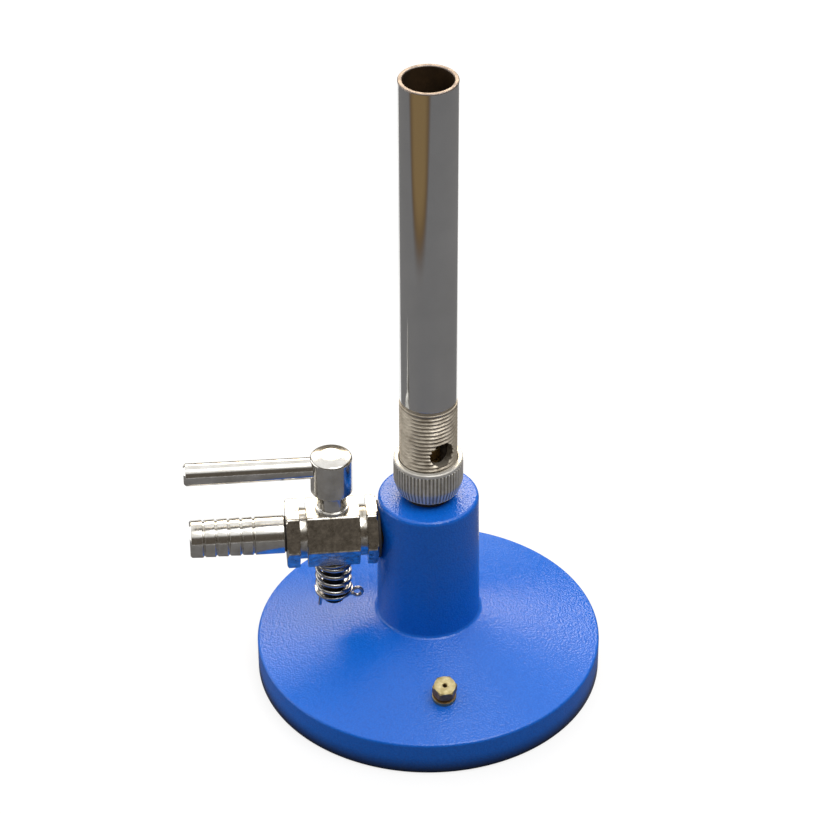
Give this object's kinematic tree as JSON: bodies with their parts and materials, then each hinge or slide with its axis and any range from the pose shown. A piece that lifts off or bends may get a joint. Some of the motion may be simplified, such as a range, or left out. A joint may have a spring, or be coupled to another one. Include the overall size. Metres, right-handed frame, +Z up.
{
  "type": "laboratory gas burner",
  "caption": "Bench gas burner: coned cast base with column, side plug cock with lever and barbed hose nozzle, screw-up air regulator collar and upright tube barrel.",
  "frame": {"origin": "middle of the base's underside, on the barrel's axis, at bench level", "axes": "+Z up along the barrel, -X out along the hose nozzle, +Y to the back of the burner"},
  "size_m": [0.0951, 0.08, 0.1574],
  "materials": {
    "blue_enamel": "fine-textured blue stoving enamel on cast iron",
    "chrome_plate": "polished chrome plate",
    "nickel_plate": "satin nickel plate on brass",
    "bare_brass": "bare turned brass",
    "spring_steel": "bright drawn wire and plain washers",
    "fibre": "dark grey vulcanised fibre"
  },
  "bodies": {
    "burner": {"base_casting": "blue_enamel", "jet_stem": "nickel_plate", "stem_washer": "fibre", "gas_jet": "bare_brass", "spare_jet": "bare_brass", "mixing_sleeve": "nickel_plate", "barrel_tube": "chrome_plate", "valve_body": "nickel_plate", "inlet_washer": "fibre", "nozzle_washer": "fibre", "hose_nozzle": "nickel_plate"},
    "valve_key": {"valve_plug": "nickel_plate", "lever_rod": "nickel_plate", "seat_washer": "spring_steel", "plug_spring": "spring_steel", "tail_washer": "spring_steel", "split_pin": "spring_steel"},
    "regulator_ring": {"regulator_friction_ring": "fibre"},
    "regulator_collar": {"air_regulator": "nickel_plate"}
  },
  "joints": [
    {"name": "valve_turn", "type": "hinge", "parent": "burner", "child": "valve_key", "pos_m": [-0.02194, 0, 0.03996], "axis": [0, 0, 1], "range_deg": [-90, 90]},
    {"name": "regulator_rise", "type": "slide", "parent": "burner", "child": "regulator_ring", "axis": [0, 0, 1], "range_m": [0, 0.0083]},
    {"name": "regulator_turn", "type": "hinge", "parent": "regulator_ring", "child": "regulator_collar", "pos_m": [0, 0, 0.05136], "axis": [0, 0, 1], "range_deg": [0, 2952]}
  ],
  "couplings": [
    {"joint": "regulator_rise", "follows": "regulator_turn", "m_per_rad": 0.00015915}
  ]
}
